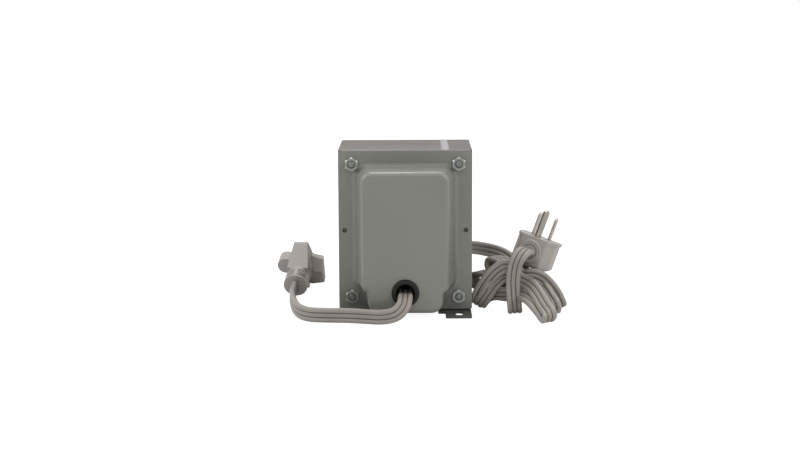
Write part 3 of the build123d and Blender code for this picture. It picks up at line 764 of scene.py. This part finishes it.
# %% Turned rings
def turned(name, place, profile, sides=48, smooth=True):
    """A ring turned about the place's own Y axis; the profile is a closed loop of radius and depth."""
    mesh = bmesh.new()
    loops = []
    for side in range(sides):
        turn = 2 * math.pi * side / sides
        loop = []
        for radius, depth in profile:
            point = Vector((radius * math.cos(turn), depth, radius * math.sin(turn)))
            loop.append(mesh.verts.new((place @ point) * MM))
        loops.append(loop)
    count = len(profile)
    for k in range(sides):
        for m in range(count):
            n = (m + 1) % count
            mesh.faces.new((loops[k - 1][m], loops[k - 1][n], loops[k][n], loops[k][m]))
    bmesh.ops.recalc_face_normals(mesh, faces=mesh.faces)
    data = bpy.data.meshes.new(name)
    mesh.to_mesh(data)
    mesh.free()
    if smooth:
        data.shade_smooth()
    return data


def rounded(radius, depth, half_wide, half_deep, corners=10):
    """A loop for a ring with an oval section round one radius and depth."""
    turns = [2 * math.pi * k / corners for k in range(corners)]
    return [(radius + half_wide * math.cos(t), depth + half_deep * math.sin(t)) for t in turns]


# %% Threads on the ends of the bolts
thread_pitch, thread_turns, thread_start, thread_sides = 0.78, 6, 0.35, 24
root_radius, crest_radius, crest_half = 1.9, 2.16, 0.3
bolt_tip = -42.7
crest = [(root_radius, -crest_half), (crest_radius, 0), (root_radius, crest_half)]
bolt_axes = [(x, z) for z in (bolt_mid_z - bolt_half_z, bolt_mid_z + bolt_half_z) for x in (-bolt_x, bolt_x)]
for number, (x, z) in enumerate(bolt_axes):
    place = Matrix.Translation((x, bolt_tip + thread_start, z))
    ring = turned("crest", place, crest, thread_sides, smooth=False)
    step, still = (0, thread_pitch, 0), (0, 0, 0)
    thread = repeat("thread_" + str(number), ring, thread_turns, step, still, 1, bolt_steel)
    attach(thread, "root")

# %% [markdown]
# ## The drawn bells
# A deep drawn sheet has soft transitions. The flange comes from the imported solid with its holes. The dome
# on it is drawn anew, with a broad fillet at the flange, a rounded edge round its face and tighter upper
# corners, as in the photograph. A bevel is hard to steer on the solid's mesh of loose triangles, so the dome
# is a stack of rings: each ring is its outline at one depth, and all rings have the same number of points.

# %% Outline of the dome at one depth
flange_face, dome_depth, lift = 38.025, 28.65, 2.4
half_wide, side_draft = 35.375, 10
neck_half_wide, neck_draft = 28.275, 4
dome_top, dome_bottom = lift + 102.2, lift + 2.15
shoulder_top, shoulder_bottom = lift + 19.1, lift + 16.1
top_radius, shoulder_radius, neck_radius, bottom_radius = 7.5, 5.4, 4, 8
lowest_edge = lift + 0.1


def rounded_outline(corners, radii, steps=7):
    """Points round a polygon in two dimensions, with an arc of the given radius at each corner."""
    points = []
    for k, radius in enumerate(radii):
        here = Vector(corners[k])
        back = (Vector(corners[k - 1]) - here).normalized()
        on = (Vector(corners[(k + 1) % len(corners)]) - here).normalized()
        half = back.angle(on) / 2
        centre = here + (back + on).normalized() * radius / math.sin(half)
        start = here + back * radius / math.tan(half) - centre
        finish = here + on * radius / math.tan(half) - centre
        points += [centre + start.slerp(finish, step / steps) * radius for step in range(steps + 1)]
    return points


def dome_ring(depth, inset):
    """The outline of the dome at a depth in front of the flange, shrunk by the inset, in mm."""
    side = half_wide - depth * math.tan(math.radians(side_draft)) - inset
    neck = neck_half_wide - depth * math.tan(math.radians(neck_draft)) - inset
    top, bottom = dome_top - inset, dome_bottom + inset
    upper, lower = shoulder_top + inset, shoulder_bottom + inset
    right = [(side, top), (side, upper), (neck, lower), (neck, bottom)]
    left = [(-x, z) for x, z in reversed(right)]
    radii = [top_radius - inset, shoulder_radius - inset, neck_radius + inset, bottom_radius - inset]
    points = rounded_outline(right + left, radii + radii[::-1])
    return [(x, depth, max(z, lowest_edge)) for x, z in points]


# %% Skin of a dome
hole_radius, hole_z, hole_sides = 8, 19.3, 48
foot_fillet, edge_fillet, fillet_steps, flat_margin = 3.1, 3.0, 7, 0.5


def dome_levels():
    """Depth and inset of each ring, from the flange over both fillets to the face."""
    angles = [math.pi / 2 * k / fillet_steps for k in range(fillet_steps + 1)]
    levels = [(foot_fillet * (1 - math.cos(a)), -foot_fillet * (1 - math.sin(a))) for a in angles]
    levels += [(foot_fillet + flat_margin, 0), (dome_depth - edge_fillet - flat_margin, 0)]
    for a in angles:
        levels.append((dome_depth - edge_fillet * (1 - math.sin(a)), edge_fillet * (1 - math.cos(a))))
    return levels + [(dome_depth, edge_fillet + flat_margin)]


def dome_skin(name, side):
    """The dome as a mesh: rings joined by quads, and a face with a round hole for the grommet."""
    mesh = bmesh.new()
    rings = []
    for depth, inset in dome_levels():
        ring = dome_ring(depth, inset)
        rings.append([mesh.verts.new((x * MM, side * (flange_face + d) * MM, z * MM)) for x, d, z in ring])
    for low, high in zip(rings, rings[1:]):
        for k in range(len(low)):
            mesh.faces.new((low[k - 1], low[k], high[k], high[k - 1]))
    face_y = side * (flange_face + dome_depth) * MM
    hole = []
    for k in range(hole_sides):
        turn = 2 * math.pi * k / hole_sides
        x, z = hole_radius * math.cos(turn), hole_z + hole_radius * math.sin(turn)
        hole.append(mesh.verts.new((x * MM, face_y, z * MM)))
    border = []
    for loop in (rings[-1], hole):
        for k in range(len(loop)):
            ends = (loop[k - 1], loop[k])
            border.append(mesh.edges.get(ends) or mesh.edges.new(ends))
    bmesh.ops.triangle_fill(mesh, edges=border, use_beauty=True)
    bmesh.ops.recalc_face_normals(mesh, faces=mesh.faces)
    if sum(f.normal.y * side for f in mesh.faces) < 0:
        bmesh.ops.reverse_faces(mesh, faces=mesh.faces)
    skin = bpy.data.meshes.new(name)
    mesh.to_mesh(skin)
    mesh.free()
    skin.shade_smooth()
    skin.materials.append(bell_enamel)
    return skin


# %% Flange and dome together
face_margin = 0.02


def drawn_bell(name, side):
    """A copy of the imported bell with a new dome; side is -1 for the front, 1 for the rear."""
    sheet = bmesh.new()
    sheet.from_mesh(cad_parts[name].data)
    outer = (flange_face + face_margin) * MM
    old_dome = [f for f in sheet.faces if abs(f.calc_center_median().y) > outer]
    bmesh.ops.delete(sheet, geom=old_dome, context="FACES")
    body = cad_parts[name].data.copy()
    sheet.to_mesh(body)
    sheet.free()
    made = bpy.data.objects.new(name + "_drawn", body)
    cover = bpy.data.objects.new(name + "_skin", dome_skin(name, side))
    for piece in (made, cover):
        scene.collection.objects.link(piece)
    with bpy.context.temp_override(active_object=made, selected_editable_objects=[made, cover]):
        bpy.ops.object.join()
    print(made.name, "has", len(made.data.polygons), "faces")
    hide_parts(name)
    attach(made, "root")


drawn_bell("front_bell", -1)
drawn_bell("rear_bell", 1)

# %% [markdown]
# ## Moulded and rubber detail
# The plug has a thick ring round the collar where its cord goes in, and each grommet has a soft outer lip.
# Both are closed rings with an oval section, turned about an axis. The plug leans, so its own frame is the
# same chain of turns as in the CAD.

# %% Rings on plug and grommets
def turns(axis, degrees):
    """A turn about one axis."""
    return Matrix.Rotation(math.radians(degrees), 4, axis)


plug_place = Matrix.Translation((93.5, -18.0, 40.6)) @ turns("Z", -17) @ turns("X", -9) @ turns("Y", 18.5)
plug_front, collar_gap = -15.5, 0.5
collar_radius, collar_half_wide, collar_half_deep = 7.7, 0.95, 1.2
lip_radius, lip_depth, lip_half_wide, lip_half_deep, lip_corners = 7.9, 68.9, 1.5, 0.75, 12


def ring_piece(name, place, profile, material, sides=48):
    """A turned ring as an object that rides on the root."""
    data = turned(name, place, profile, sides)
    data.materials.append(material)
    piece = bpy.data.objects.new(name, data)
    scene.collection.objects.link(piece)
    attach(piece, "root")
    return piece


collar = rounded(collar_radius, plug_front - collar_gap, collar_half_wide, collar_half_deep)
collar_ring = ring_piece("plug_collar_ring", plug_place, collar, vinyl)
hole_middle = Matrix.Translation((0, 0, hole_z))
for side, name in ((-1, "front"), (1, "rear")):
    lip = rounded(lip_radius, side * lip_depth, lip_half_wide, lip_half_deep, lip_corners)
    ring_piece(name + "_grommet_lip", hole_middle, lip, rubber)
print("a ring on the plug and a lip on each grommet")

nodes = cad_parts
plug_pieces = [nodes[n] for n in ("plug_body", "plug_line_blade", "plug_neutral_blade", "plug_ground_pin")]
plug_pieces.append(collar_ring)
